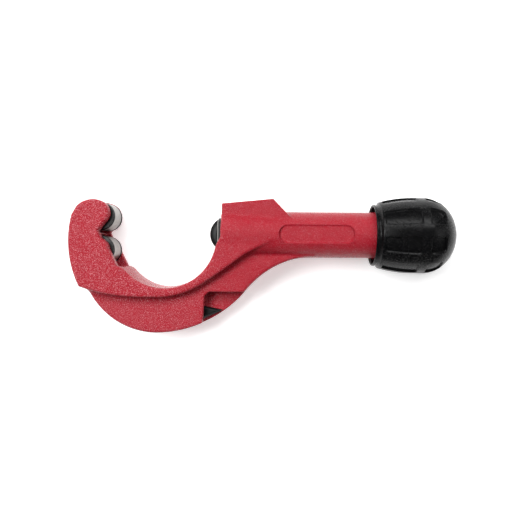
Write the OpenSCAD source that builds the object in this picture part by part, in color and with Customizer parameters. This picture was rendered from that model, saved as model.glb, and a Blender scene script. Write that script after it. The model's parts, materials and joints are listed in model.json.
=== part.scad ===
// Enclosed-feed pipe cutter for copper and thin steel pipe.
// X runs along the feed screw towards the knob, Z across the flat of the frame, Y from web to fin.
// The parts are drawn about the screw axis with the nose face at x = 0, and placed() then sets
// the whole tool so that its origin is under the middle of its outline, at its lowest level.

/* [Frame] */
// Radius of the round throat that takes the pipe
throat_r = 22.5; // [18.5:0.5:27]
// Gap from the throat to the flat nose face
nose_gap = 2.3; // [1.5:0.1:4]
// Drop of the throat's centre below the screw axis
throat_drop = 1.2; // [0:0.1:3]
// Bevel round both edges of the throat
throat_bevel = 1.6; // [0.5:0.1:2.5]
// Thickness of the hook, the rib and the nose
rib_t = 19.6; // [18:0.2:23]
// Depth of the rib under the throat
rib_depth = 4.9; // [4:0.1:7]
// Thickness of the web outside the rib
web_t = 10; // [9:0.5:12]
// Depth of the web under the throat
web_depth = 20.8; // [19:0.1:25]
// Depth of the hook behind the throat
hook_depth = 20.4; // [18:0.1:24]

/* [Handle tube] */
// Outer radius of the handle tube
tube_r = 10.2; // [10:0.1:12]
// Distance from the nose face to the end of the tube
tube_len = 84; // [78:0.5:102]
// Length of the sunk name panel
panel_len = 32.3; // [20:0.1:36]
// Width of the sunk name panel
panel_w = 7.4; // [5:0.1:9]
// Depth of the sunk name panel below the crest of the tube
panel_depth = 1.2; // [0.8:0.1:1.4]
// Height of the fin above the screw axis at the nose
fin_front_h = 13.4; // [11:0.1:15]
// Height of the fin above the screw axis at its peak
fin_peak_h = 15.4; // [12:0.1:17]
// Thickness of the fin at the nose
fin_t = 12.4; // [10:0.2:15]

/* [Rollers] */
// Radius of a roller on its land
roller_r = 6.3; // [5.7:0.1:7.6]
// Length of a roller
roller_len = 12.4; // [10:0.2:13]
// Length of a roller's land between its grooves
roller_land = 9.5; // [7:0.1:10]
// Width of the groove at each end of a roller
roller_groove_w = 0.9; // [0.6:0.1:1.1]
// Depth of the groove at each end of a roller
roller_groove_d = 1.4; // [0.5:0.1:2]
// Gap between the two rollers
roller_gap = 2.4; // [1.6:0.1:4]
// Distance that the roller axes lie behind the throat
roller_setback = 7; // [6:0.1:8]
// Radius of a roller pin
pin_r = 2; // [1.5:0.1:2.5]
// Radius of the ears round the upper roller
upper_ear_r = 5.9; // [5:0.1:6.2]
// Radius of the ears round the lower roller
lower_ear_r = 5.4; // [4.5:0.1:5.8]

/* [Cutting head] */
// Radius of the cutter wheel
wheel_r = 7.9; // [7.5:0.1:8.5]
// Thickness of the cutter wheel at its hub
wheel_hub_t = 3.2; // [2.4:0.1:4]
// Radius of the wheel axle
axle_r = 2.5; // [2:0.1:3]
// Distance from the nose face to the wheel axle with the slide drawn in
axle_x = 2.1; // [1.5:0.1:4]
// Radius of the slide on its round sides
slide_r = 7.4; // [6.1:0.1:7.6]
// Distance across the flats of the slide
slide_flat = 11.8; // [11:0.1:12.4]
// Length of the slide
slide_len = 65.8; // [64:0.2:67]
// Reach of the slide's fork ahead of the wheel axle
fork_reach = 3.9; // [3.6:0.1:4.5]
// Distance that the slide feeds out towards the rollers
feed_travel = 40; // [30:1:40]

/* [Feed] */
// Outer radius of the feed screw's thread
screw_r = 4; // [3.5:0.1:4.8]
// Length of the feed nut
nut_len = 14; // [10:0.5:16]
// Outer radius of the feed nut
nut_r = 5.8; // [5.4:0.1:6]
// Radius of the feed screw's collar
collar_r = 7.7; // [7:0.1:7.9]
// Thickness of the feed screw's collar
collar_t = 2.9; // [2:0.1:3.5]
// Thickness of each thrust washer
washer_t = 1; // [0.6:0.1:1.4]
// Outer radius of the end bush where it sits in the tube
bush_r = 8.2; // [8.1:0.1:8.6]

/* [Knob] */
// Largest radius of the knob
knob_r = 16.7; // [15:0.1:20]
// Length of the knob
knob_len = 36.2; // [34:0.1:43]
// Radius of the knob's mouth on the outside
knob_mouth_r = 13.9; // [13.5:0.1:15]
// Radius of the hollow that clears the tube
knob_hollow_r = 12.4; // [11.4:0.1:13]
// Number of grip pads round the knob
pad_count = 8; // [6:1:10]
// Depth of the grooves between the grip pads
groove_depth = 0.9; // [0.5:0.1:1.2]

/* [Deburring blade] */
// Thickness of the blade
blade_t = 2.2; // [1.6:0.1:2.4]
// Length of the blade from its pivot to its tip
blade_len = 38.5; // [32:0.5:40]
// Half the width of the blade at its pivot
blade_half_w = 4.6; // [4:0.1:5]
// Width of the slot that the blade folds into
blade_slot_w = 3.2; // [2.8:0.1:3.6]
// Angle that the blade swings open
blade_swing = 135; // [100:5:140]

/* [Fits] */
// Radial clearance of a turning or sliding fit
run_fit = 0.05; // [0.02:0.01:0.08]
// Clearance between moving pieces that never touch
free_gap = 0.3; // [0.2:0.05:0.4]

/* [Hidden] */
$fn = 96;
eps = 0.01;

red = "#b32338";
black = "#1c1d20";
bright = "#c4c7ca";
brass = "#b8964a";

// throat, hook and web, all hung from the throat's centre
throat = [-(throat_r + nose_gap), -throat_drop];
throat_floor = throat.y - throat_r;
half_rib = rib_t / 2;
half_web = web_t / 2;
roller_x = throat.x - throat_r - roller_setback;
roller_y = roller_r + roller_gap / 2;
slot_half = roller_len / 2 + free_gap;
pocket_r = roller_r + 0.8;
pocket_mouth_x = roller_x - 3;
hook_r = throat_r + hook_depth + 3.1;
hook_centre = [throat.x + 3.1, throat.y - 2];
hook_left = hook_centre.x - hook_r;
hook_top = roller_y + pocket_r + 0.4;
rib_floor = throat_floor - rib_depth;
rib_sweep_r = 81;
rib_sweep = [throat.x - 11.3, rib_floor + rib_sweep_r];
rib_turn_r = throat_r + rib_depth + 11.2;
rib_turn = [throat.x - 3.9, rib_floor + rib_turn_r];
web_floor = throat_floor - web_depth;
web_left_r = throat_r + 12.2;
web_left = [throat.x - 4.2, web_floor + web_left_r];
web_right_r = throat_r + 29.9;
web_right = [throat.x - 5.1, web_floor + web_right_r];
fin_foot_h = fin_peak_h - 10.7;
web_hollow_r = 39.4;
web_hollow = [throat.x + 67, -tube_r + 0.5 - web_hollow_r];

panel_x = 41.7;

// bore through the handle and what turns in it
bore_r = slide_r + run_fit;
bore_flat = slide_flat + 2 * run_fit;
counterbore_x = tube_len - 16;
washer_front_x = counterbore_x;
collar_x = washer_front_x + washer_t + 0.1;
washer_rear_x = collar_x + collar_t + 0.1;
bush_x = washer_rear_x + washer_t;
bush_flange_t = 1.2;
bush_flange_r = bush_r + 1.4;
slide_x = axle_x - fork_reach;
slide_end = slide_x + slide_len;
fork_slot = wheel_hub_t + 0.4;
fork_floor = axle_x + wheel_r + 0.9;
screw_tip = fork_floor + 3.2;
axle_head_r = axle_r + 1.2;
axle_head_t = 1.5;
axle_face_z = min(slide_flat / 2, sqrt(slide_r * slide_r - axle_head_r * axle_head_r));
axle_tip_z = axle_face_z - 1.5;
lock_screw_r = 1.5;
lock_screw_x = tube_len - 4.5;

// knob, from its mouth to its domed end
knob_end = tube_len + 18.7;
knob_mouth = knob_end - knob_len;
knob_floor = tube_len + bush_flange_t + 1;
dome_x = knob_end - 14.2;
barrel_x = dome_x - 4.5;
barrel_r = knob_r + 35.5;
insert_end = knob_floor + 10.6;
insert_r = 6.4;
drive_r = screw_r - 0.1;
drive_flat = 6;
knob_recess_x = insert_end + 3.2;
knob_recess_r = 4.8;
cap_r = 2;
cap_head_r = 3.9;
cap_head_t = 1.7;
cap_depth = 9;

// deburring blade in the web
pivot = [throat.x + 25.3 - blade_len, throat_floor - 11.8];
pivot_r = 2;
pivot_tip_z = half_web - 1.4;
blade_top = blade_t / 2 - 0.2;
blade_tip_rise = 1.4;
slot_clear = 0.5;
notch_x = throat.x + 17.3;
notch_y = throat_floor - 2;
slot_top = pivot.y + blade_half_w + slot_clear;
stop_dir = [cos(blade_swing), -sin(blade_swing)];
stop_side = [-sin(blade_swing), -cos(blade_swing)] * (blade_half_w + slot_clear);
ends_x = [hook_left, knob_end];

// points along the lower (side -1) or upper (side 1) half of a circle from xa to xb
function arc(c, r, xa, xb, side, n) =
    [for (i = [0:n]) let (x = xa + (xb - xa) * i / n) [x, c.y + side * sqrt(r * r - (x - c.x) * (x - c.x))]];

// points round a circle from angle a to angle b
function turn(c, r, a, b, n) =
    [for (i = [0:n]) let (t = a + (b - a) * i / n) c + r * [cos(t), sin(t)]];

module placed()
    translate([-(ends_x[0] + ends_x[1]) / 2, -(web_floor + knob_r) / 2, knob_r]) children();

// a plate of thickness t, centred on the middle plane
module plate(t) translate([0, 0, -t / 2]) linear_extrude(t) children();

// a rod of radius r along the screw axis from xa to xb
module rod(xa, xb, r) translate([xa, 0, 0]) rotate([0, 90, 0]) cylinder(h = xb - xa, r = r);

// a rod with two flats across Z
module flat_rod(xa, xb, r, flat)
    intersection() {
        rod(xa, xb, r);
        translate([xa - 1, -r - 1, -flat / 2]) cube([xb - xa + 2, 2 * r + 2, flat]);
    }

// a ring of inner radius ri and outer radius ro along the screw axis
module ring(xa, xb, ri, ro)
    difference() {
        rod(xa, xb, ro);
        rod(xa - 1, xb + 1, ri);
    }

// an upright cylinder at p from za to zb
module post(p, za, zb, r) translate([p.x, p.y, za]) cylinder(h = zb - za, r = r);

module rib_outline()
    polygon(concat(
        turn([roller_x - 0.5, roller_y + 1.2], upper_ear_r, -50, 72, 10),
        turn([roller_x - 2.1, hook_top - 10.7], 10.7, 82, 135, 7),
        turn(hook_centre, hook_r, 166, 207, 9),
        arc(rib_sweep, rib_sweep_r, throat.x - throat_r - 14.3, throat.x - 9, -1, 8),
        arc(rib_turn, rib_turn_r, rib_turn.x, throat.x + 0.7 * throat_r, -1, 7),
        [[0.6, -tube_r - 6.6], [11, -tube_r + 1.1], [20, -4.6], [27, -2]],
        [[27, 2], [0, 2.6], [0, -throat_drop]],
        [throat + throat_r * [0.6, -0.6]],
        [throat + throat_r * [-0.6, -0.6]],
        [[roller_x + 9.1, -roller_y - 7]],
        turn([roller_x, -roller_y], lower_ear_r, 4, 68, 6),
        [[roller_x + 0.6, 0.6]]
    ));

module web_outline()
    polygon(concat(
        arc(web_left, web_left_r, web_left.x - 0.9 * web_left_r, web_left.x, -1, 12),
        arc(web_right, web_right_r, throat.x - 1, web_right.x + 0.8 * web_right_r, -1, 12),
        arc(web_hollow, web_hollow_r, throat.x + 39, throat.x + 66, 1, 10),
        [[throat.x + 66, -4], [0, -4], [throat.x, throat_floor + 3], [throat.x - 30, throat_floor + 6]]
    ));

module fin()
    intersection() {
        plate(rib_t) polygon([[0, 0], [0, fin_front_h], [22.8, fin_peak_h], [33, fin_foot_h], [33, 0]]);
        rotate([90, 0, 0]) translate([0, 0, -fin_peak_h - 1]) linear_extrude(fin_peak_h + 2)
            polygon([[0, -fin_t / 2], [33, -fin_t / 2 - 2], [33, fin_t / 2 + 2], [0, fin_t / 2]]);
    }

module throat_cut() {
    post(throat, -half_rib - 1, half_rib + 1, throat_r);
    for (s = [-1, 1]) translate([throat.x, throat.y, s * (half_rib - throat_bevel / 2 + 0.5)])
        mirror([0, 0, s < 0 ? 1 : 0])
            cylinder(h = throat_bevel + 1, r1 = throat_r, r2 = throat_r + throat_bevel + 1, center = true);
}

module roller_pocket() {
    for (s = [-1, 1]) post([roller_x, s * roller_y], -slot_half, slot_half, pocket_r);
    translate([roller_x, -hook_top, -slot_half]) cube([pocket_r + 8, 2 * hook_top, 2 * slot_half]);
    translate([pocket_mouth_x, 0, -slot_half]) cube([pocket_r + 8, hook_top + 1, 2 * slot_half]);
    for (s = [-1, 1]) post([roller_x, s * roller_y], -half_rib - 1, half_rib - 1.5, pin_r);
}

module blade_slot()
    plate(blade_slot_w) {
        translate(pivot) circle(r = blade_half_w + slot_clear);
        polygon([pivot + stop_side, pivot + stop_side + 40 * stop_dir,
            [pivot.x, web_floor - 20], [throat.x + 50, web_floor - 20], [throat.x + 50, notch_y],
            [notch_x, notch_y], [notch_x, slot_top], [pivot.x, slot_top]]);
    }

// the near side of the web is cut back so that a thumb can push the blade's tip
module thumb_notch()
    translate([0, 0, blade_slot_w / 2 - eps]) linear_extrude(half_web)
        polygon([[notch_x + 2, notch_y], [notch_x, notch_y - 2], [notch_x - 1.2, web_floor - 2],
            [throat.x + 50, web_floor - 2], [throat.x + 50, notch_y]]);

module panel_cut()
    translate([panel_x, 0, tube_r - panel_depth]) linear_extrude(panel_depth + 1) {
        square([panel_len - panel_w, panel_w], center = true);
        for (s = [-1, 1]) translate([s * (panel_len - panel_w) / 2, 0]) circle(d = panel_w);
    }

module handle_bore() {
    flat_rod(throat.x, counterbore_x + 1, bore_r, bore_flat);
    rod(counterbore_x, tube_len + 1, bush_r);
    translate([throat.x, -wheel_r - 0.6, -fork_slot / 2])
        cube([fork_floor - throat.x, 2 * wheel_r + 1.2, fork_slot]);
    translate([lock_screw_x, 0, 0]) rotate([90, 0, 0]) cylinder(h = tube_r + 2, r = lock_screw_r);
}

module frame() placed() color(red)
    difference() {
        union() {
            plate(rib_t) rib_outline();
            plate(web_t) web_outline();
            rod(0, tube_len, tube_r);
            fin();
        }
        throat_cut();
        roller_pocket();
        handle_bore();
        blade_slot();
        thumb_notch();
        post(pivot, -half_web - 1, pivot_tip_z, pivot_r);
        translate([pivot.x, pivot.y, -half_web - eps]) cylinder(h = 2, r1 = pivot_r + 2, r2 = pivot_r);
        panel_cut();
    }

module roller(y) placed() color(bright)
    translate([roller_x, y, 0]) difference() {
        cylinder(h = roller_len, r = roller_r, center = true);
        cylinder(h = roller_len + 2, r = pin_r + run_fit, center = true);
        for (s = [-1, 1]) translate([0, 0, s * (roller_land + roller_groove_w) / 2]) difference() {
            cylinder(h = roller_groove_w, r = roller_r + 1, center = true);
            cylinder(h = roller_groove_w + 1, r = roller_r - roller_groove_d, center = true);
        }
    }

module roller_pin(y) placed() color(bright)
    post([roller_x, y], -half_rib + 0.3, half_rib - 1.6, pin_r);

module slide() placed() color(black)
    difference() {
        flat_rod(slide_x, slide_end, slide_r, slide_flat);
        translate([slide_x - 1, -slide_r - 1, -fork_slot / 2])
            cube([fork_floor - slide_x + 1, 2 * slide_r + 2, fork_slot]);
        rod(fork_floor + 1.8, slide_end + 1, screw_r + 0.5);
        rod(slide_end - nut_len, slide_end + 1, nut_r);
        post([axle_x, 0], -slide_flat, axle_tip_z, axle_r);
        post([axle_x, 0], -slide_flat, axle_head_t - axle_face_z, axle_head_r);
    }

module cutter_wheel() placed() color(black)
    translate([axle_x, 0, 0]) rotate_extrude()
        polygon([[axle_r + run_fit, -wheel_hub_t / 2], [4.6, -wheel_hub_t / 2], [4.9, -1],
            [6.3, -0.8], [wheel_r, -0.08], [wheel_r, 0.08], [6.3, 0.8],
            [4.9, 1], [4.6, wheel_hub_t / 2], [axle_r + run_fit, wheel_hub_t / 2]]);

module wheel_axle_screw() placed() color(bright)
    difference() {
        union() {
            post([axle_x, 0], axle_head_t - axle_face_z - eps, axle_tip_z - 0.1, axle_r);
            post([axle_x, 0], 0.1 - axle_face_z, axle_head_t - axle_face_z, axle_head_r);
        }
        translate([axle_x - 4, -0.4, -axle_face_z - 1.1]) cube([8, 0.8, 2]);
    }

module feed_nut() placed() color(brass)
    ring(slide_end - nut_len, slide_end, screw_r + run_fit, nut_r);

module feed_screw() placed() color(bright)
    difference() {
        union() {
            rod(screw_tip, tube_len + bush_flange_t + 0.5, screw_r);
            rod(collar_x, collar_x + collar_t, collar_r);
            rotate([90, 0, 0]) flat_rod(tube_len, insert_end - 0.4, drive_r, drive_flat);
        }
        rod(knob_recess_x - cap_depth, insert_end + 1, cap_r);
    }

module thrust_washer(x) placed() color(brass)
    ring(x, x + washer_t, screw_r + 0.3, bush_r - 0.2);

module end_bush() placed() color(bright)
    difference() {
        union() {
            rod(bush_x, tube_len + eps, bush_r);
            rod(tube_len, tube_len + bush_flange_t, bush_flange_r);
        }
        rod(bush_x - 1, tube_len + bush_flange_t + 1, screw_r + run_fit);
        translate([lock_screw_x, -bush_r + 1.8, 0]) rotate([90, 0, 0]) cylinder(h = 4, r = lock_screw_r);
    }

module bush_lock_screw() placed() color(black)
    translate([lock_screw_x, -bush_r + 1.8, 0]) rotate([90, 0, 0])
        cylinder(h = tube_r - bush_r + 1.6, r = lock_screw_r);

// half profile of the knob: a slow barrel and then an elliptical dome
function knob_profile() = concat(
    [for (i = [0:8]) let (x = knob_mouth + (barrel_x - knob_mouth) * i / 8)
        [knob_r - (knob_r - knob_mouth_r) * pow((barrel_x - x) / (barrel_x - knob_mouth), 2), x]],
    [for (i = [0:12]) let (t = 90 * i / 12)
        [(knob_r - 0.1) * cos(t), dome_x + (knob_end - dome_x) * sin(t)]]
);

module knob() placed() color(black)
    difference() {
        rotate([0, 90, 0]) rotate_extrude() polygon(concat(knob_profile(), [[0, knob_mouth]]));
        rod(knob_mouth - 1, knob_floor, knob_hollow_r);
        rod(knob_floor - 1, insert_end, insert_r);
        rod(knob_floor, knob_end, cap_r + 0.2);
        rod(knob_recess_x, knob_end + 1, knob_recess_r);
        for (i = [0:pad_count - 1]) rotate([360 * (i + 0.5) / pad_count, 0, 0])
            translate([knob_mouth + 6, -0.8, knob_r - groove_depth]) cube([18.5, 1.6, 3]);
    }

module knob_drive_insert() placed() color(brass)
    difference() {
        rod(knob_floor, insert_end, insert_r);
        rotate([90, 0, 0]) flat_rod(knob_floor - 1, insert_end + 1, drive_r, drive_flat);
    }

module knob_washer() placed() color(bright)
    ring(knob_recess_x, knob_recess_x + 0.8, cap_r + 0.2, knob_recess_r - 0.3);

module knob_screw() placed() color(bright)
    difference() {
        union() {
            rod(knob_recess_x - cap_depth + 0.5, knob_recess_x + 1, cap_r);
            rod(knob_recess_x + 0.8, knob_recess_x + 0.8 + cap_head_t, cap_head_r);
        }
        for (a = [0, 90]) rotate([a, 0, 0]) translate([knob_recess_x + 1.3, -2, -0.4]) cube([3, 4, 0.8]);
    }

module deburring_blade() placed() color(black)
    translate([pivot.x, pivot.y, blade_top - blade_t]) difference() {
        linear_extrude(blade_t) polygon(concat(
            turn([0, 0], blade_half_w, 90, 270, 16),
            [[blade_len - 12, -blade_half_w + 0.7], [blade_len, blade_tip_rise],
            [blade_len - 12, blade_half_w - 0.8]]
        ));
        translate([0, 0, -1]) cylinder(h = blade_t + 2, r = pivot_r + run_fit);
    }

module blade_pivot_screw() placed() color(black) {
    post(pivot, -half_web + 1.9, pivot_tip_z - 0.1, pivot_r);
    translate([pivot.x, pivot.y, -half_web + 0.1]) cylinder(h = 1.9, r1 = pivot_r + 1.85, r2 = pivot_r);
}

module blade_wave_washer() placed() color(bright)
    translate([pivot.x, pivot.y, blade_top + 0.1]) difference() {
        cylinder(h = blade_slot_w / 2 - blade_top - 0.1, r = blade_half_w - 0.6);
        translate([0, 0, -1]) cylinder(h = 3, r = pivot_r);
    }

frame();
roller(roller_y);  // upper_roller
roller(-roller_y);  // lower_roller
roller_pin(roller_y);  // upper_roller_pin
roller_pin(-roller_y);  // lower_roller_pin
slide();
cutter_wheel();
wheel_axle_screw();
feed_nut();
feed_screw();
thrust_washer(washer_front_x);  // front_thrust_washer
thrust_washer(washer_rear_x);  // rear_thrust_washer
end_bush();
bush_lock_screw();
knob();
knob_drive_insert();
knob_washer();
knob_screw();
deburring_blade();
blade_pivot_screw();
blade_wave_washer();
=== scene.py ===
import json
import math

import bpy
import numpy as np
from mathutils import Matrix, Vector


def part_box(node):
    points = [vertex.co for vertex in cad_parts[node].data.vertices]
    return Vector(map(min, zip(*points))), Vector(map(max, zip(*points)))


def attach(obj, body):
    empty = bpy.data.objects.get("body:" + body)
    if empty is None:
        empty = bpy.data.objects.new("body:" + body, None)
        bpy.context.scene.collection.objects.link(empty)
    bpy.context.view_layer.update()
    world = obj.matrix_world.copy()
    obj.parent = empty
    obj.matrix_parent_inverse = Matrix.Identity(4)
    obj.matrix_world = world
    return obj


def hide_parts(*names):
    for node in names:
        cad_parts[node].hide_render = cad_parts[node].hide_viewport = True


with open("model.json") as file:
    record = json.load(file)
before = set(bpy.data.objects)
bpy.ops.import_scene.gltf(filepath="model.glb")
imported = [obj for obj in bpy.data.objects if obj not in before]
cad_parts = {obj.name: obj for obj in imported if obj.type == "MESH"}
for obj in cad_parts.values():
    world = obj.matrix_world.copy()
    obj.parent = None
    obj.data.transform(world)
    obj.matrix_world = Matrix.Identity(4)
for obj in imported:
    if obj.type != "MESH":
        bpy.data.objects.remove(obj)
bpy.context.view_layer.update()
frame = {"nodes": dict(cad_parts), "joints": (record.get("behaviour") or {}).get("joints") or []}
joints = {j["name"]: j for j in frame["joints"]}
print("frame loaded:", len(frame["nodes"]), "nodes")

# places, from the frame's own joints
mm = 0.001
feedLine = Vector(joints["knob_turn"]["pos_m"])             # any point on the feed screw's axis
wheelPin = Vector(joints["cutter_wheel_spin"]["pos_m"])
rollPinTop = Vector(joints["upper_roller_spin"]["pos_m"])
rollPinLow = Vector(joints["lower_roller_spin"]["pos_m"])
bladePin = Vector(joints["blade_fold"]["pos_m"])
axleX = 2.1                                                  # wheel axle behind the nose face, mm
# the tool's own zero: the nose face on the screw's axis
origin = Vector((wheelPin.x - axleX * mm, feedLine.y, feedLine.z))


def local(point):                                            # row frame in metres to tool millimetres
    return (point - origin) / mm


rollX, rollY = local(rollPinTop).x, local(rollPinTop).y
pivotX, pivotY = local(bladePin).x, local(bladePin).y


# making solids
def linear(hexColour):                                       # sRGB hex to linear RGBA
    parts = [int(hexColour[i:i + 2], 16) / 255 for i in (1, 3, 5)]
    return [c / 12.92 if c <= 0.04045 else ((c + 0.055) / 1.055) ** 2.4 for c in parts] + [1.0]


def newMesh(name, points, faces):                            # points in tool millimetres
    mesh = bpy.data.meshes.new(name)
    points = np.asarray(points, float) * mm + np.array(origin)
    mesh.from_pydata(points.tolist(), [], faces.tolist())
    mesh.validate()
    mesh.shade_smooth()
    piece = bpy.data.objects.new(name, mesh)
    bpy.context.scene.collection.objects.link(piece)
    return piece


def place(piece, node, body, material):                # hang a finished piece on the frame
    piece.data.materials.clear()
    piece.data.materials.append(material)
    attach(piece, body)
    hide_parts(node)


def arc(centre, radius, fromX, toX, side, steps):            # points on one half of a circle
    xs = np.linspace(fromX, toX, steps + 1)
    return [(x, centre[1] + side * math.sqrt(radius ** 2 - (x - centre[0]) ** 2)) for x in xs]


def turn(centre, radius, fromDeg, toDeg, steps):             # points round a circle
    angles = np.radians(np.linspace(fromDeg, toDeg, steps + 1))
    return [(centre[0] + radius * math.cos(a), centre[1] + radius * math.sin(a)) for a in angles]


# distance to a closed outline, negative inside
def outline(corners, x, y):
    shape = np.broadcast(x, y).shape
    best = np.full(shape, 1e9)
    inside = np.zeros(shape, bool)
    for (ax, ay), (bx, by) in zip(corners, corners[1:] + corners[:1]):
        dx, dy = bx - ax, by - ay
        along = np.clip(((x - ax) * dx + (y - ay) * dy) / (dx * dx + dy * dy + 1e-12), 0, 1)
        best = np.minimum(best, (x - ax - along * dx) ** 2 + (y - ay - along * dy) ** 2)
        if dy:
            inside ^= ((ay > y) != (by > y)) & (x < dx * (y - ay) / dy + ax)
    return np.where(inside, -1, 1) * np.sqrt(best)


def both(a, b, edge):                                        # where two solids overlap, edge rounded
    a, b = a + edge, b + edge
    return np.minimum(np.maximum(a, b), 0) + np.hypot(np.maximum(a, 0), np.maximum(b, 0)) - edge


def join(a, b, fillet):                                      # two solids as one, with a cast fillet
    rounding = np.hypot(np.maximum(fillet - a, 0), np.maximum(fillet - b, 0))
    return np.maximum(fillet, np.minimum(a, b)) - rounding


def cut(a, b, edge):                                         # b taken out of a, its rim rounded
    return both(a, -b, edge)


def slab(value, low, high):                                  # distance to the layer from low to high
    return np.maximum(low - value, value - high)


def sculpt(name, solid, low, high, step):                    # skin a distance function with even quads
    axes = [np.arange(lo - step, hi + 2 * step, step) for lo, hi in zip(low, high)]
    x, y, z = np.ix_(*axes)
    d = np.ascontiguousarray(np.broadcast_to(solid(x, y, z), [len(a) for a in axes]))
    inside = d < 0
    cells = [n - 1 for n in d.shape]

    def corner(grid, i, j, k):
        return grid[i:i + cells[0], j:j + cells[1], k:k + cells[2]]

    ends = [(i, j, k) for i in (0, 1) for j in (0, 1) for k in (0, 1)]
    count = sum(corner(inside, *end).astype(np.int8) for end in ends)
    active = (count > 0) & (count < 8)
    number = np.full(active.shape, -1, np.int64)
    number[active] = np.arange(active.sum())
    base = np.argwhere(active)
    total = np.zeros((len(base), 3))
    hits = np.zeros(len(base))
    for axis in range(3):
        for p in (0, 1):
            for q in (0, 1):
                first = np.insert([p, q], axis, 0)
                second = first.copy()
                second[axis] = 1
                da = d[tuple((base + first).T)]
                db = d[tuple((base + second).T)]
                crossed = (da < 0) != (db < 0)
                t = np.where(crossed, da / np.where(crossed, da - db, 1), 0)
                spot = base + first
                spot = spot.astype(float)
                spot[:, axis] += t
                total += spot * crossed[:, None]
                hits += crossed
    points = np.array([a[0] for a in axes]) + step * total / hits[:, None]
    for _ in range(3):                                       # draw each point onto the true surface
        here = solid(*points.T)
        h = step * 0.25
        slope = np.stack([(solid(*(points + h * e).T) - solid(*(points - h * e).T)) / (2 * h)
                          for e in np.eye(3)], 1)
        size = np.maximum((slope ** 2).sum(1), 0.25)
        move = -here[:, None] * slope / size[:, None]
        points += np.clip(move, -0.3 * step, 0.3 * step)
    faces = []
    for axis in range(3):
        u, v = [a for a in range(3) if a != axis]
        lowSide = np.take(inside, range(0, inside.shape[axis] - 1), axis)
        highSide = np.take(inside, range(1, inside.shape[axis]), axis)
        edges = np.argwhere(lowSide != highSide)
        edges = edges[(edges[:, u] > 0) & (edges[:, v] > 0)]
        edges = edges[(edges[:, u] < cells[u]) & (edges[:, v] < cells[v])]
        out = lowSide[tuple(edges.T)]
        ring = []
        for du, dv in ((0, 0), (1, 0), (1, 1), (0, 1)):
            c = edges.copy()
            c[:, u] -= du
            c[:, v] -= dv
            ring.append(number[tuple(c.T)])
        ring = np.stack(ring, 1)
        flip = out if axis == 1 else ~out
        ring[flip] = ring[flip][:, ::-1]
        faces.append(ring)
    faces = np.concatenate(faces)
    print(" ", name, len(points), "points")
    return newMesh(name, points, faces)


axisR = 0.01                                                 # a profile stops just short of its axis


# turns a closed profile of (along, radius) about an axis
def lathe(name, profile, centre, axis, steps=128, lift=None):
    angles = np.linspace(0, 2 * math.pi, steps, endpoint=False)
    along = np.array([p[0] for p in profile])[:, None]
    radius = np.array([p[1] for p in profile])[:, None]
    if lift is not None:
        radius = radius + lift(along, radius, angles[None, :])
    a = radius * np.cos(angles)
    b = radius * np.sin(angles)
    along = np.broadcast_to(along, a.shape)
    if axis == "z":
        points = np.stack([centre[0] + a, centre[1] + b, centre[2] + along], -1)
    else:
        points = np.stack([centre[0] + along, centre[1] + a, centre[2] + b], -1)
    rows = len(profile)
    i = np.arange(rows)[:, None]
    j = np.arange(steps)[None, :]
    nextI, nextJ = (i + 1) % rows, (j + 1) % steps
    faces = np.stack([i * steps + j, i * steps + nextJ, nextI * steps + nextJ, nextI * steps + j], -1)
    faces = faces.reshape(-1, 4)
    return newMesh(name, points.reshape(-1, 3), faces)


def softened(corners, edge, steps=3):                        # rounds each corner of a closed profile
    out = []
    for i, p in enumerate(corners):
        p = np.array(p, float)
        before = np.array(corners[i - 1], float) - p
        after = np.array(corners[(i + 1) % len(corners)], float) - p
        reach = min(edge, 0.45 * np.linalg.norm(before), 0.45 * np.linalg.norm(after))
        start = p + before / np.linalg.norm(before) * reach
        end = p + after / np.linalg.norm(after) * reach
        for t in np.linspace(0, 1, steps + 1):
            out.append(tuple((1 - t) ** 2 * start + 2 * t * (1 - t) * p + t * t * end))
    return out


# materials
# adds one node with its settings, and its links or values
def addNode(tree, kind, settings=None, **inputs):
    node = tree.nodes.new(kind)
    for key, value in (settings or {}).items():
        setattr(node, key, value)
    for key, value in inputs.items():
        socket = node.inputs[int(key[1:])] if key[0] == "_" else node.inputs[key.replace("_", " ")]
        if isinstance(value, bpy.types.NodeSocket):
            tree.links.new(value, socket)
        else:
            socket.default_value = value
    return node


def startMaterial(name):
    material = bpy.data.materials.new(name)
    material.use_nodes = True
    tree = material.node_tree
    tree.nodes.clear()
    shader = addNode(tree, "ShaderNodeBsdfPrincipled")
    addNode(tree, "ShaderNodeOutputMaterial", Surface=shader.outputs[0])
    place3d = addNode(tree, "ShaderNodeTexCoord").outputs["Object"]
    return material, tree, shader, place3d


# powder coat on die-cast aluminium: sprayed polyester powder baked to a pebbled, half-gloss skin
# the light fleck colour paints glints on the pebbled coat
coat = {"colour": "#a01023", "light": "#d8848c", "deep": "#8e0d1f", "roughness": 0.2, "specular": 0.22,
        "pebbleMm": 0.38, "orangePeelMm": 2.6, "pebbleBump": 0.34, "glintHookX": -20.0, "glintTubeX": 12.0,
        "glintOnHook": 0.66, "glintOnTube": 0.2, "glintFrom": 0.53, "glintTo": 0.63, "patch": 0.35,
        "roughSpread": 0.08, "peelShare": 0.4}


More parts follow.
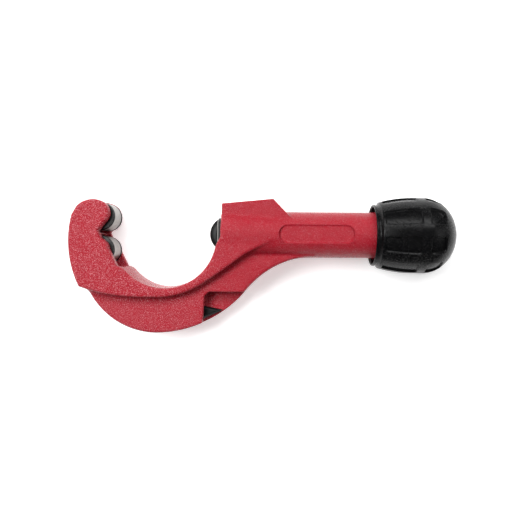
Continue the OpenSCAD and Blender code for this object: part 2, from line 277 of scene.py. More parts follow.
def powderCoat():
    material, tree, shader, spot = startMaterial("powderCoatedAluminium")
    pebble = addNode(tree, "ShaderNodeTexNoise", Vector=spot, Scale=1 / (coat["pebbleMm"] * mm),
                     Detail=2.0, Roughness=0.55)
    peel = addNode(tree, "ShaderNodeTexNoise", Vector=spot, Scale=1 / (coat["orangePeelMm"] * mm),
                   Detail=2.0)
    # painted highlight: the light flecks stand in for glints and are painted stronger on the hook and web
    # than on the tube
    along = addNode(tree, "ShaderNodeSeparateXYZ", Vector=spot).outputs[0]
    glintAlong = addNode(tree, "ShaderNodeMapRange", _0=along, _1=origin.x + coat["glintHookX"] * mm,
                     _2=origin.x + coat["glintTubeX"] * mm, _3=coat["glintOnHook"], _4=coat["glintOnTube"])
    # painted glints: light flecks on the crests of the pebble noise
    glintCrest = addNode(tree, "ShaderNodeMapRange", _0=pebble.outputs[0], _1=coat["glintFrom"],
                    _2=coat["glintTo"], _3=0.0, _4=1.0)
    paintedGlint = addNode(tree, "ShaderNodeMath", {"operation": "MULTIPLY"}, _0=glintCrest.outputs[0],
                    _1=glintAlong.outputs[0])
    patch = addNode(tree, "ShaderNodeMapRange", _0=peel.outputs[0], _1=0.3, _2=0.7, _3=0.0,
                    _4=coat["patch"])
    base = addNode(tree, "ShaderNodeMix", {"data_type": "RGBA"}, _0=patch.outputs[0],
                   _6=linear(coat["colour"]), _7=linear(coat["deep"]))
    glintTint = addNode(tree, "ShaderNodeMix", {"data_type": "RGBA"}, _0=paintedGlint.outputs[0],
                   _6=base.outputs[2], _7=linear(coat["light"]))
    tree.links.new(glintTint.outputs[2], shader.inputs["Base Color"])
    rough = addNode(tree, "ShaderNodeMapRange", _0=pebble.outputs[0], _1=0.3, _2=0.7,
                    _3=coat["roughness"] + coat["roughSpread"], _4=coat["roughness"] - coat["roughSpread"])
    tree.links.new(rough.outputs[0], shader.inputs["Roughness"])
    heights = addNode(tree, "ShaderNodeMath", {"operation": "MULTIPLY_ADD"},
                      _0=peel.outputs[0], _1=coat["peelShare"], _2=pebble.outputs[0])
    bump = addNode(tree, "ShaderNodeBump", Strength=1.0, Distance=coat["pebbleBump"] * mm,
                   Height=heights.outputs[0])
    tree.links.new(bump.outputs[0], shader.inputs["Normal"])
    shader.inputs["IOR"].default_value = 1.5
    shader.inputs["Specular IOR Level"].default_value = coat["specular"]
    return material


# ground bearing steel: rings of grinding marks round the roller, drawn wider than real ones to show
ground = {"colour": "#a09d99", "dark": "#797673", "oxide": "#161616", "roughness": 0.3, "roughSpread": 0.14,
          "markMm": 0.16, "blotMm": 1.5, "markBump": 0.02, "oxideMetallic": -0.6}


# the ends beyond the ground land are coloured near-black and less metallic
def groundSteel(name, landHalf):
    material, tree, shader, spot = startMaterial(name)
    height = addNode(tree, "ShaderNodeSeparateXYZ", Vector=spot).outputs[2]
    offset = addNode(tree, "ShaderNodeMath", {"operation": "SUBTRACT"}, _0=height, _1=origin.z)
    away = addNode(tree, "ShaderNodeMath", {"operation": "ABSOLUTE"}, _0=offset.outputs[0])
    ends = addNode(tree, "ShaderNodeMath", {"operation": "GREATER_THAN"}, _0=away.outputs[0],
                   _1=landHalf * mm)
    stretch = addNode(tree, "ShaderNodeMapping", Vector=spot, Scale=(60, 60, 1 / (ground["markMm"] * mm)))
    marks = addNode(tree, "ShaderNodeTexNoise", Vector=stretch.outputs[0], Scale=1.0, Detail=3.0)
    blot = addNode(tree, "ShaderNodeTexNoise", Vector=spot, Scale=1 / (ground["blotMm"] * mm), Detail=3.0)
    tone = addNode(tree, "ShaderNodeMapRange", _0=marks.outputs[0], _1=0.35, _2=0.65, _3=0.0, _4=1.0)
    colour = addNode(tree, "ShaderNodeMix", {"data_type": "RGBA"}, _0=tone.outputs[0],
                     _6=linear(ground["dark"]), _7=linear(ground["colour"]))
    shade = addNode(tree, "ShaderNodeMix", {"data_type": "RGBA"}, _0=ends.outputs[0],
                    _6=colour.outputs[2], _7=linear(ground["oxide"]))
    tree.links.new(shade.outputs[2], shader.inputs["Base Color"])
    rough = addNode(tree, "ShaderNodeMapRange", _0=blot.outputs[0], _1=0.3, _2=0.7,
                    _3=ground["roughness"], _4=ground["roughness"] + ground["roughSpread"])
    tree.links.new(rough.outputs[0], shader.inputs["Roughness"])
    bump = addNode(tree, "ShaderNodeBump", Strength=0.35, Distance=ground["markBump"] * mm,
                   Height=marks.outputs[0])
    tree.links.new(bump.outputs[0], shader.inputs["Normal"])
    metal = addNode(tree, "ShaderNodeMath", {"operation": "MULTIPLY_ADD"}, _0=ends.outputs[0],
                    _1=ground["oxideMetallic"], _2=1.0)
    tree.links.new(metal.outputs[0], shader.inputs["Metallic"])
    return material


# black-oxide tool steel: a hot-dipped, oiled conversion coat, dark with a low satin shine;
# its grain is drawn coarser than the real one to show
# the bright steel colour in this table paints a highlight along the fork's front rim
oxide = {"colour": "#131314", "wear": "#353433", "rimGlint": "#a5a39f", "roughness": 0.42, "markMm": 0.3,
         "cloudMm": 4.0, "rimFrom": 0.28, "rimTo": 0.45, "rimAmount": 0.85, "metallic": 0.55, "bump": 0.03}


def blackOxide(name, colour=oxide["colour"], wear=oxide["wear"], roughness=oxide["roughness"],
               markMm=oxide["markMm"], rimHighlightX=None):
    material, tree, shader, spot = startMaterial(name)
    grit = addNode(tree, "ShaderNodeTexNoise", Vector=spot, Scale=1 / (markMm * mm), Detail=4.0,
                   Roughness=0.6)
    cloud = addNode(tree, "ShaderNodeTexNoise", Vector=spot, Scale=1 / (oxide["cloudMm"] * mm), Detail=4.0)
    rim = addNode(tree, "ShaderNodeNewGeometry").outputs["Pointiness"]
    edge = addNode(tree, "ShaderNodeMapRange", _0=rim, _1=0.54, _2=0.62, _3=0.0, _4=0.8)
    tone = addNode(tree, "ShaderNodeMapRange", _0=cloud.outputs[0], _1=0.35, _2=0.75, _3=0.0, _4=0.25)
    worn = addNode(tree, "ShaderNodeMath", {"operation": "MAXIMUM"}, _0=edge.outputs[0],
                   _1=tone.outputs[0])
    shade = addNode(tree, "ShaderNodeMix", {"data_type": "RGBA"}, _0=worn.outputs[0],
                    _6=linear(colour), _7=linear(wear))
    if rimHighlightX is not None:                               # painted highlight: the fork's front rim is painted bright bare steel in patches
        along = addNode(tree, "ShaderNodeSeparateXYZ", Vector=spot).outputs[0]
        front = origin.x + rimHighlightX * mm
        rimGlint = addNode(tree, "ShaderNodeMapRange", _0=along, _1=front + oxide["rimFrom"] * mm,
                       _2=front + oxide["rimTo"] * mm, _3=oxide["rimAmount"], _4=0.0)
        patchy = addNode(tree, "ShaderNodeMapRange", _0=cloud.outputs[0], _1=0.35, _2=0.5, _3=0.3, _4=1.0)
        rimShine = addNode(tree, "ShaderNodeMath", {"operation": "MULTIPLY"}, _0=rimGlint.outputs[0],
                      _1=patchy.outputs[0])
        shade = addNode(tree, "ShaderNodeMix", {"data_type": "RGBA"}, _0=rimShine.outputs[0],
                        _6=shade.outputs[2], _7=linear(oxide["rimGlint"]))
    tree.links.new(shade.outputs[2], shader.inputs["Base Color"])
    rough = addNode(tree, "ShaderNodeMapRange", _0=grit.outputs[0], _1=0.3, _2=0.7,
                    _3=roughness - 0.08, _4=roughness + 0.1)
    tree.links.new(rough.outputs[0], shader.inputs["Roughness"])
    bump = addNode(tree, "ShaderNodeBump", Strength=0.4, Distance=oxide["bump"] * mm,
                   Height=grit.outputs[0])
    tree.links.new(bump.outputs[0], shader.inputs["Normal"])
    shader.inputs["Metallic"].default_value = oxide["metallic"]
    return material


# polypropylene moulded in a spark-eroded tool: black, finely grained, waxy half-gloss;
# the grain is drawn coarser than the real one to show
gripPlastic = {"colour": "#070708", "dust": "#1b1a19", "roughness": 0.25, "roughSpread": 0.07,
               "specular": 0.15, "grainMm": 0.5, "smearMm": 5.0, "grainBump": 0.15, "dustAmount": 0.6}


def mouldedPlastic():
    material, tree, shader, spot = startMaterial("mouldedPolypropylene")
    grain = addNode(tree, "ShaderNodeTexNoise", Vector=spot, Scale=1 / (gripPlastic["grainMm"] * mm),
                    Detail=3.0, Roughness=0.6)
    smear = addNode(tree, "ShaderNodeTexNoise", Vector=spot, Scale=1 / (gripPlastic["smearMm"] * mm),
                    Detail=3.0)
    speck = addNode(tree, "ShaderNodeMapRange", _0=grain.outputs[0], _1=0.6, _2=0.78, _3=0.0,
                    _4=gripPlastic["dustAmount"])
    colour = addNode(tree, "ShaderNodeMix", {"data_type": "RGBA"}, _0=speck.outputs[0],
                     _6=linear(gripPlastic["colour"]), _7=linear(gripPlastic["dust"]))
    tree.links.new(colour.outputs[2], shader.inputs["Base Color"])
    rough = addNode(tree, "ShaderNodeMapRange", _0=smear.outputs[0], _1=0.3, _2=0.7,
                    _3=gripPlastic["roughness"] - gripPlastic["roughSpread"],
                    _4=gripPlastic["roughness"] + gripPlastic["roughSpread"])
    tree.links.new(rough.outputs[0], shader.inputs["Roughness"])
    grit = addNode(tree, "ShaderNodeMapRange", _0=grain.outputs[0], _1=0.56, _2=0.74, _3=0.0, _4=1.0)
    bump = addNode(tree, "ShaderNodeBump", Strength=1.0, Distance=gripPlastic["grainBump"] * mm,
                   Height=grit.outputs[0])
    tree.links.new(bump.outputs[0], shader.inputs["Normal"])
    shader.inputs["IOR"].default_value = 1.49
    shader.inputs["Specular IOR Level"].default_value = gripPlastic["specular"]
    return material


# turned metal, plated or bare: tool rings along the part's own axis, drawn wider than real ones to show
turned = {"ringMm": 0.22, "cloudMm": 2.0, "roughSpread": 0.12, "ringBump": 0.02}


def turnedMetal(name, colour, dark, roughness):
    material, tree, shader, spot = startMaterial(name)
    stretch = addNode(tree, "ShaderNodeMapping", Vector=spot, Scale=(1 / (turned["ringMm"] * mm), 90, 90))
    rings = addNode(tree, "ShaderNodeTexNoise", Vector=stretch.outputs[0], Scale=1.0, Detail=2.0)
    cloud = addNode(tree, "ShaderNodeTexNoise", Vector=spot, Scale=1 / (turned["cloudMm"] * mm), Detail=4.0)
    mixed = addNode(tree, "ShaderNodeMath", {"operation": "MULTIPLY"}, _0=rings.outputs[0],
                    _1=cloud.outputs[0])
    tone = addNode(tree, "ShaderNodeMapRange", _0=mixed.outputs[0], _1=0.15, _2=0.4, _3=0.0, _4=1.0)
    shade = addNode(tree, "ShaderNodeMix", {"data_type": "RGBA"}, _0=tone.outputs[0],
                    _6=linear(dark), _7=linear(colour))
    tree.links.new(shade.outputs[2], shader.inputs["Base Color"])
    rough = addNode(tree, "ShaderNodeMapRange", _0=cloud.outputs[0], _1=0.3, _2=0.7,
                    _3=roughness, _4=roughness + turned["roughSpread"])
    tree.links.new(rough.outputs[0], shader.inputs["Roughness"])
    bump = addNode(tree, "ShaderNodeBump", Strength=0.3, Distance=turned["ringBump"] * mm,
                   Height=rings.outputs[0])
    tree.links.new(bump.outputs[0], shader.inputs["Normal"])
    shader.inputs["Metallic"].default_value = 1.0
    return material


redCoat = powderCoat()
rollerSteel = groundSteel("groundRollerSteel", 3.9)
pinSteel = groundSteel("groundPinSteel", 20)
slideSteel = blackOxide("blackOxideSteel")
# this steel carries a painted highlight along the fork's front rim
forkSteel = blackOxide("blackOxideSteelRimHighlight", rimHighlightX=-1.8)
bladeSteel = blackOxide("blackenedToolSteel", colour="#070708", wear="#1b1b1a", roughness=0.45,
                        markMm=0.22)
blackPlastic = mouldedPlastic()
zincPlate = turnedMetal("brightZincPlate", "#c9c7bf", "#98968f", 0.25)
turnedBrass = turnedMetal("turnedBrass", "#c9a55c", "#94743a", 0.28)
print("materials made")

# the cast frame
cast = {"throatR": 22.5, "throatX": -24.8, "throatY": -1.2, "ribT": 19.6, "ribDepth": 4.9, "webT": 10.0,
        "webDepth": 20.8, "hookDepth": 20.4, "tubeR": 10.2, "tubeLen": 84.0, "panelLen": 32.3, "panelW": 7.4,
        "panelFloor": 9.0, "panelX": 41.7, "finFront": 13.4, "finPeak": 15.4, "finFoot": 4.7, "finT": 12.4,
        "edge": 1.1, "fillet": 2.2, "draft": 0.035, "step": 0.42, "hookTopR": 10.7, "sweepR": 81.0,
        "turnR": 38.6, "webLeftR": 34.7, "webRightR": 52.4, "hollowR": 39.4, "finPeakX": 22.8,
        "finEndX": 33.0, "webEdge": 1.0, "tubeEdge": 0.7, "finEdge": 0.5, "finFlare": 0.06, "finFillet": 0.5,
        "tubeFillet": 0.8, "throatEdge": 1.5, "cutEdge": 0.4, "holeEdge": 0.2, "grubR": 1.5, "grubBack": 4.5}
fork = {"boreR": 7.45, "boreFlat": 11.9, "wheelR": 7.9, "wheelRoom": 0.6, "slot": 3.6, "slotEnd": 10.9,
        "rearR": 8.2, "rearX": 68.0}
roll = {"r": 6.3, "len": 12.4, "land": 9.5, "grooveR": 4.9, "flangeT": 0.55, "flangeR": 6.3, "pinR": 2.0,
        "upperEarR": 5.9, "lowerEarR": 5.4, "room": 0.8, "fit": 0.05, "endRoom": 0.3, "skin": 1.5}
blade = {"t": 2.2, "len": 38.5, "half": 4.6, "slot": 3.2, "clear": 0.5, "top": 0.9, "swing": 135,
         "tipRise": 1.4, "pinR": 2.0, "point": 12.0, "sinkR": 2.0}

floorY = cast["throatY"] - cast["throatR"]                   # lowest point of the throat
ribLow = floorY - cast["ribDepth"]
webLow = floorY - cast["webDepth"]
tx, ty = cast["throatX"], cast["throatY"]
hookR = cast["throatR"] + cast["hookDepth"] + 3.1
hookTop = rollY + roll["r"] + roll["room"] + 0.4
ribOutline = (
    turn((rollX - 0.5, rollY + 1.2), roll["upperEarR"], -50, 72, 14)
    + turn((rollX - 2.1, hookTop - cast["hookTopR"]), cast["hookTopR"], 82, 135, 10)
    + turn((tx + 3.1, ty - 2), hookR, 166, 207, 16)
    + arc((tx - 11.3, ribLow + cast["sweepR"]), cast["sweepR"], tx - 36.8, tx - 9, -1, 14)
    + arc((tx - 3.9, ribLow + cast["turnR"]), cast["turnR"], tx - 3.9, tx + 15.8, -1, 12)
    + [(0.6, -16.8), (11, -9.1), (20, -4.6), (27, -2), (27, 2), (0, 2.6), (0, ty)]
    + [(tx + 13.5, ty - 13.5), (tx - 13.5, ty - 13.5)]
    + [(rollX + 9.1, -rollY - 7)]
    + turn((rollX, -rollY), roll["lowerEarR"], 4, 68, 9)
    + [(rollX + 0.6, 0.6)])
webOutline = (
    arc((tx - 4.2, webLow + cast["webLeftR"]), cast["webLeftR"], tx - 35.4, tx - 4.2, -1, 18)
    + arc((tx - 5.1, webLow + cast["webRightR"]), cast["webRightR"], tx - 1, tx + 36.6, -1, 18)
    + arc((tx + 67, 0.5 - cast["tubeR"] - cast["hollowR"]), cast["hollowR"], tx + 39, tx + 66, 1, 16)
    + [(tx + 66, -4), (0, -4), (tx, floorY + 3), (tx - 30, floorY + 6)])
finOutline = [(0, 0), (0, cast["finFront"]), (cast["finPeakX"], cast["finPeak"]),
              (cast["finEndX"], cast["finFoot"]), (cast["finEndX"], 0)]
notchX, notchY = tx + 17.3, floorY - 2
slotTop = pivotY + blade["half"] + blade["clear"]
swing = math.radians(blade["swing"])
reach = blade["half"] + blade["clear"]
sideX, sideY = pivotX - math.sin(swing) * reach, pivotY - math.cos(swing) * reach
slotOutline = [(sideX, sideY), (sideX + 40 * math.cos(swing), sideY - 40 * math.sin(swing)),
               (pivotX, webLow - 20), (tx + 50, webLow - 20), (tx + 50, notchY), (notchX, notchY),
               (notchX, slotTop), (pivotX, slotTop)]
notchOutline = [(notchX + 2, notchY), (notchX, notchY - 2), (notchX - 1.2, webLow - 2),
                (tx + 50, webLow - 2), (tx + 50, notchY)]


def castFrame(x, y, z):
    depth = np.abs(z)
    tilt = cast["draft"] * depth
    rib = both(outline(ribOutline, x, y) + tilt, depth - cast["ribT"] / 2, cast["edge"])
    web = both(outline(webOutline, x, y) + tilt, depth - cast["webT"] / 2, cast["webEdge"])
    ring = np.hypot(y, z)
    tube = both(ring - cast["tubeR"], slab(x, 0, cast["tubeLen"]), cast["tubeEdge"])
    finHalf = cast["finT"] / 2 + cast["finFlare"] * x
    fin = both(outline(finOutline, x, y) + 0.3 * tilt, depth - finHalf, cast["finEdge"])
    body = join(rib, web, cast["fillet"])
    body = join(body, fin, cast["finFillet"])
    body = join(body, tube, cast["tubeFillet"])
    throat = np.hypot(x - tx, y - ty) - cast["throatR"] - 1.6 * tilt
    body = cut(body, throat, cast["throatEdge"])
    fromPin = np.minimum(np.hypot(x - rollX, y - rollY), np.hypot(x - rollX, y + rollY))
    pocket = fromPin - roll["r"] - roll["room"]
    chute = np.maximum(slab(x, rollX, rollX + roll["r"] + 8.8), slab(y, -hookTop, hookTop))
    mouth = np.maximum(slab(x, rollX - 3, rollX + 12), slab(y, 0, hookTop + 1))
    pocket = np.minimum(np.minimum(pocket, chute), mouth)
    pocket = np.maximum(pocket, depth - roll["len"] / 2 - roll["endRoom"])
    body = cut(body, pocket, cast["cutEdge"])
    pins = np.maximum(fromPin - roll["pinR"], slab(z, -12, cast["ribT"] / 2 - roll["skin"]))
    body = cut(body, pins, cast["holeEdge"])
    bore = np.maximum(both(ring - fork["boreR"], depth - fork["boreFlat"] / 2, 0.1), slab(x, tx, 69))
    rear = np.maximum(ring - fork["rearR"], fork["rearX"] - x)
    wheelSlot = np.maximum(depth - fork["slot"] / 2, np.abs(y) - fork["wheelR"] - fork["wheelRoom"])
    wheelSlot = np.maximum(wheelSlot, slab(x, tx, fork["slotEnd"]))
    body = cut(body, np.minimum(np.minimum(bore, rear), wheelSlot), cast["cutEdge"])
    grub = np.maximum(np.hypot(x - cast["tubeLen"] + cast["grubBack"], z) - cast["grubR"], y)
    body = cut(body, grub, cast["holeEdge"])
    kerf = np.maximum(np.minimum(outline(slotOutline, x, y), np.hypot(x - pivotX, y - pivotY) - reach),
                      depth - blade["slot"] / 2)
    notch = np.maximum(outline(notchOutline, x, y), slab(z, 0, 20))
    body = cut(body, np.minimum(kerf, notch), cast["cutEdge"])
    sink = np.hypot(x - pivotX, y - pivotY)
    screwHole = np.maximum(sink - blade["pinR"], slab(z, -12, 3.6))
    cone = (sink - blade["pinR"] - blade["sinkR"] + (z + cast["webT"] / 2)) * math.sqrt(0.5)
    body = cut(body, np.minimum(screwHole, np.maximum(cone, z + 3)), 0.15)
    halfPanel = (cast["panelLen"] - cast["panelW"]) / 2
    panel = np.hypot(np.maximum(np.abs(x - cast["panelX"]) - halfPanel, 0), y) - cast["panelW"] / 2
    return cut(body, np.maximum(panel, cast["panelFloor"] - z), 0.15)


casting = sculpt("castFrame", castFrame, (-68.5, webLow - 0.5, -10.6), (84.5, 15.9, 10.6), cast["step"])
place(casting, "frame", "cutter_frame", redCoat)
print("frame cast")

# rollers and their pins
for pin, node, body in ((rollPinTop, "upper_roller", "upper_roll"),
                        (rollPinLow, "lower_roller", "lower_roll")):
    c = local(pin)
    half, land, bore = roll["len"] / 2, roll["land"] / 2, roll["pinR"] + roll["fit"]
    flange = half - roll["flangeT"]
    upper = [(half, roll["flangeR"]), (flange, roll["flangeR"]), (flange, roll["grooveR"]),
             (land, roll["grooveR"]), (land, roll["r"])]
    lower = [(-a, r) for a, r in reversed(upper)]
    profile = softened([(-half, bore), (half, bore)] + upper + lower, 0.2)
    piece = lathe(node + "_turned", profile, c, "z")
    place(piece, node, body, rollerSteel)
    low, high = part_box(node + "_pin")
    low, high = local(low), local(high)
    start, end = low.z - c.z, high.z - c.z
    pinProfile = softened([(start, axisR), (end, axisR), (end, roll["pinR"]), (start, roll["pinR"])], 0.3)
    piece = lathe(node + "_pin_turned", pinProfile, c, "z", 64)
    place(piece, node + "_pin", "cutter_frame", pinSteel)
print("rollers turned")

# cutting head
head = {"slideR": 7.4, "flat": 11.8, "front": -1.8, "len": 65.8, "axleR": 2.5, "headR": 3.7, "headT": 1.5,
        "tipZ": 4.4, "nutR": 5.8, "nutLen": 14.0, "screwR": 4.0, "hubR": 4.6, "hubT": 3.2, "fit": 0.05}


def forkSlide(x, y, z):
    ring = np.hypot(y, z)
    end = head["front"] + head["len"]
    body = both(ring - head["slideR"], np.abs(z) - head["flat"] / 2, 0.35)
    body = both(body, slab(x, head["front"], end), 0.45)
    gap = np.maximum(np.abs(z) - fork["slot"] / 2, x - fork["slotEnd"])
    body = cut(body, gap, 0.25)
    well = np.maximum(ring - head["screwR"] - 0.5, fork["slotEnd"] + 1.8 - x)
    seat = np.maximum(ring - head["nutR"], end - head["nutLen"] - x)
    body = cut(body, np.minimum(well, seat), 0.2)
    around = np.hypot(x - axleX, y)
    hole = np.maximum(around - head["axleR"], z - head["tipZ"])
    sink = np.maximum(around - head["headR"], z + head["flat"] / 2 - head["headT"])
    return cut(body, np.minimum(hole, sink), 0.15)


slideEnd = head["front"] + head["len"]
piece = sculpt("forkSlide", forkSlide, (head["front"], -7.5, -6), (slideEnd, 7.5, 6), 0.36)
place(piece, "slide", "cutter_slide", forkSteel)

bore = head["axleR"] + head["fit"]
hub = head["hubT"] / 2
wheelProfile = softened([(-hub, bore), (hub, bore), (hub, head["hubR"]), (1.0, 4.95), (0.8, 6.3),
                         (0.09, fork["wheelR"]), (-0.09, fork["wheelR"]), (-0.8, 6.3), (-1.0, 4.95),
                         (-hub, head["hubR"])], 0.12, 2)
piece = lathe("cutterWheel", wheelProfile, (axleX, 0, 0), "z", 160)
place(piece, "cutter_wheel", "wheel", bladeSteel)


def axleScrew(x, y, z):
    around = np.hypot(x - axleX, y)
    back = -head["flat"] / 2
    shank = np.maximum(around - head["axleR"], slab(z, back + 1, head["tipZ"] - 0.1))
    top = both(around - head["headR"], slab(z, back + 0.1, back + head["headT"]), 0.2)
    slot = np.maximum(np.abs(y) - 0.4, z - back - 0.9)
    return cut(np.minimum(shank, top), slot, 0.1)


piece = sculpt("axleScrew", axleScrew, (axleX - 3.8, -3.8, -6), (axleX + 3.8, 3.8, 6), 0.2)
place(piece, "wheel_axle_screw", "cutter_slide", slideSteel)

# the feed nut and the screw carry a left-hand thread, 2 mm pitch
thread = {"pitch": 2.0, "depth": 1.1}
nutLow, nutHigh = local(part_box("feed_nut")[0]), local(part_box("feed_nut")[1])
nutBore = head["screwR"] + head["fit"]
nutProfile = softened([(nutLow.x, nutBore), (nutHigh.x, nutBore), (nutHigh.x, head["nutR"]),
                       (nutLow.x, head["nutR"])], 0.3)
piece = lathe("feedNut", nutProfile, (0, 0, 0), "x", 96)
place(piece, "feed_nut", "cutter_slide", turnedBrass)
print("cutting head made")

# feed screw
screwLow, screwHigh = local(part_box("feed_screw")[0]), local(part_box("feed_screw")[1])
feed = {"tip": screwLow.x, "threadEnd": 66.0, "collar": 69.1, "collarT": 2.9, "collarR": 7.7,
        "drive": 85.2, "end": screwHigh.x, "driveFlat": 5.97, "driveR": 3.9, "boreR": 2.0, "boreDepth": 89.8,
        "washerBore": 4.3, "bushR": 8.2, "flangeT": 1.2}


def threadLift(along, radius, angle):
    phase = (along / thread["pitch"] + angle / (2 * math.pi)) % 1.0
    form = np.clip(np.abs(phase - 0.5) * 4 - 0.5, 0, 1)      # trapezoid flanks, crests outside
    runIn = np.clip((along - feed["tip"] - 0.6) / 1.2, 0, 1)
    runOut = np.clip((feed["threadEnd"] - along) / 1.5, 0, 1)
    return np.where(radius > feed["driveR"], -thread["depth"] * (1 - form) * runIn * runOut, 0)


crestR = head["screwR"]
collarEnd = feed["collar"] + feed["collarT"]
plainStart, plainEnd = feed["threadEnd"] + 0.6667, feed["drive"] - 0.3  # the plain length behind the thread
threadRows = [(x, crestR) for x in np.arange(feed["tip"] + 0.6, feed["threadEnd"], thread["pitch"] / 10)]
collarRows = softened([(plainStart, crestR), (feed["collar"], crestR), (feed["collar"], feed["collarR"]),
                       (collarEnd, feed["collarR"]), (collarEnd, crestR), (feed["drive"], crestR)], 0.3)
collarRows = collarRows[4:-4]                                # the two open ends aren't corners
screwProfile = ([(feed["tip"], axisR), (feed["tip"], 3.4)] + threadRows
                + [(plainStart, crestR)] + collarRows + [(plainEnd, crestR)]
                + [(feed["drive"] + 0.1, feed["driveR"]), (feed["end"] - 0.3, feed["driveR"]),
                   (feed["end"], 3.6), (feed["end"], feed["boreR"]), (feed["boreDepth"], feed["boreR"]),
                   (feed["boreDepth"], axisR)])


def screwShape(along, radius, angle):
    lift = threadLift(along, radius, angle)
    flat = feed["driveFlat"] / 2 / np.maximum(np.abs(np.cos(angle)), 0.01)
    onDrive = (along > feed["drive"] + 0.05) & (radius > 3)
    return np.where(onDrive, np.minimum(flat, radius) - radius, lift)


piece = lathe("feedScrew", screwProfile, (0, 0, 0), "x", 80, screwShape)
place(piece, "feed_screw", "feed_knob", zincPlate)
inner = feed["washerBore"]
for node in ("front_thrust_washer", "rear_thrust_washer"):
    low, high = local(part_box(node)[0]), local(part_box(node)[1])
    profile = softened([(low.x, inner), (high.x, inner), (high.x, high.y), (low.x, high.y)], 0.2)
    piece = lathe(node + "_turned", profile, (0, 0, 0), "x", 96)
    place(piece, node, "cutter_frame", turnedBrass)
low, high = local(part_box("end_bush")[0]), local(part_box("end_bush")[1])
flangeX = high.x - feed["flangeT"]
bushProfile = softened([(low.x, nutBore), (high.x, nutBore), (high.x, high.y), (flangeX, high.y),
                        (flangeX, feed["bushR"]), (low.x, feed["bushR"])], 0.35)
piece = lathe("endBush", bushProfile, (0, 0, 0), "x", 96)
place(piece, "end_bush", "cutter_frame", zincPlate)
print("feed made")

# knob
knob = {"mouth": 66.5, "mouthR": 13.9, "hollowR": 12.4, "floor": 86.2, "maxR": 16.7, "barrelEnd": 84.0,
        "dome": 88.5, "end": 102.7, "recess": 100.0, "recessR": 4.8, "insertR": 6.4, "insertEnd": 96.8,
        "pads": 8, "turnDeg": 5.0, "pocketDepth": 0.9, "ribW": 5.6, "collarEnd": 68.8, "padStart": 70.2,
        "padEnd": 85.0, "shortStart": 88.6, "shortEnd": 95.2, "corner": 0.9, "lipR": 0.55, "lipAt": 13.15}


def knobRadius(x):                                           # slow barrel, then an elliptical dome
    lead = (knob["barrelEnd"] - np.minimum(x, knob["barrelEnd"])) / (knob["barrelEnd"] - knob["mouth"])
    barrel = knob["maxR"] - (knob["maxR"] - knob["mouthR"]) * lead ** 2
    s = np.clip((x - knob["dome"]) / (knob["end"] - knob["dome"]), 0, 1)
    return barrel * np.sqrt(1 - s ** 2)


def gripLift(along, radius, angle):                          # sunk grip pockets between raised ribs
    outer = radius > 13.0
    outer = outer | ((along > 90) & (radius > 5.1))
    step = 2 * math.pi / knob["pads"]
    offset = (angle - math.radians(90 - knob["turnDeg"])) % step
    across = (step / 2 - np.abs(offset - step / 2)) * radius  # distance from the nearest rib's middle
    sunk = np.zeros(np.broadcast(along, angle).shape)
    sunk = sunk + np.clip(0.5 - (along - knob["collarEnd"]) / 0.5, 0, 1)  # collar behind the lip
    for start, end in ((knob["padStart"], knob["padEnd"]), (knob["shortStart"], knob["shortEnd"])):
        c = knob["corner"]
        a = c - (across - knob["ribW"] / 2)
        b = c - np.minimum(along - start, end - along)
        gap = np.hypot(np.maximum(a, 0), np.maximum(b, 0)) + np.minimum(np.maximum(a, b), 0) - c
        t = np.clip(0.5 - gap / 0.36, 0, 1)
        sunk = np.maximum(sunk, t * t * (3 - 2 * t))
    seen = np.clip((along - knob["mouth"] - 0.2) / 1.0, 0, 1) * outer
    return -knob["pocketDepth"] * sunk * seen


domeLen = knob["end"] - knob["dome"]
domeTurn = np.linspace(math.asin(2 / domeLen), math.acos(5.25 / knob["maxR"]), 72)
outerX = np.concatenate([np.arange(knob["mouth"] + 0.7, knob["dome"] + 2, 0.24),
                         knob["dome"] + domeLen * np.sin(domeTurn)])
outerRows = [(x, float(knobRadius(x))) for x in outerX]
lipTurn = np.linspace(0.2, 3.0, 8)
lip = [(knob["mouth"] + knob["lipR"] * (1 - math.sin(t)), knob["lipAt"] - knob["lipR"] * math.cos(t))
       for t in lipTurn]
floorX, rimX = knob["floor"], outerRows[-1][0]
seatR = knob["insertR"] + 0.01                               # a hundredth of room where the insert enters
knobProfile = ([(floorX, seatR), (floorX, 11.9), (floorX - 0.15, 12.25), (floorX - 0.5, knob["hollowR"])]
               + [(x, knob["hollowR"]) for x in np.linspace(floorX - 2, knob["mouth"] + 1.2, 8)]
               + lip + outerRows
               + [(rimX - 0.05, knob["recessR"] + 0.1), (rimX - 0.3, knob["recessR"]),
                  (knob["recess"], knob["recessR"]), (knob["recess"], 2.2), (knob["insertEnd"], 2.2),
                  (knob["insertEnd"], knob["insertR"])])
piece = lathe("gripKnob", knobProfile, (0, 0, 0), "x", 480, gripLift)
place(piece, "knob", "feed_knob", blackPlastic)


# the pan-head screw that holds the knob on
pan = {"top": 2.5, "domeR": 18.0, "headR": 3.9, "washerT": 0.8, "shankR": 1.98, "crossR": 2.0,
       "crossDepth": 1.2}


def panHead(x, y, z):
    around = np.hypot(y, z)
    top = knob["recess"] + pan["top"]
    dome = np.sqrt((x - top + pan["domeR"]) ** 2 + around ** 2) - pan["domeR"]
    cap = both(np.maximum(around - pan["headR"], dome), knob["recess"] + pan["washerT"] - x, 0.15)
    shank = np.maximum(around - pan["shankR"], slab(x, knob["recess"] - 8.5, knob["recess"] + 1.2))
    wide = 0.48 + 0.12 * (x - top + pan["crossDepth"])
    upright = np.maximum(np.abs(y) - wide, np.abs(z) - pan["crossR"])
    level = np.maximum(np.abs(z) - wide, np.abs(y) - pan["crossR"])
    cross = np.maximum(np.minimum(upright, level), top - pan["crossDepth"] - x)
    return cut(np.minimum(cap, shank), cross, 0.1)


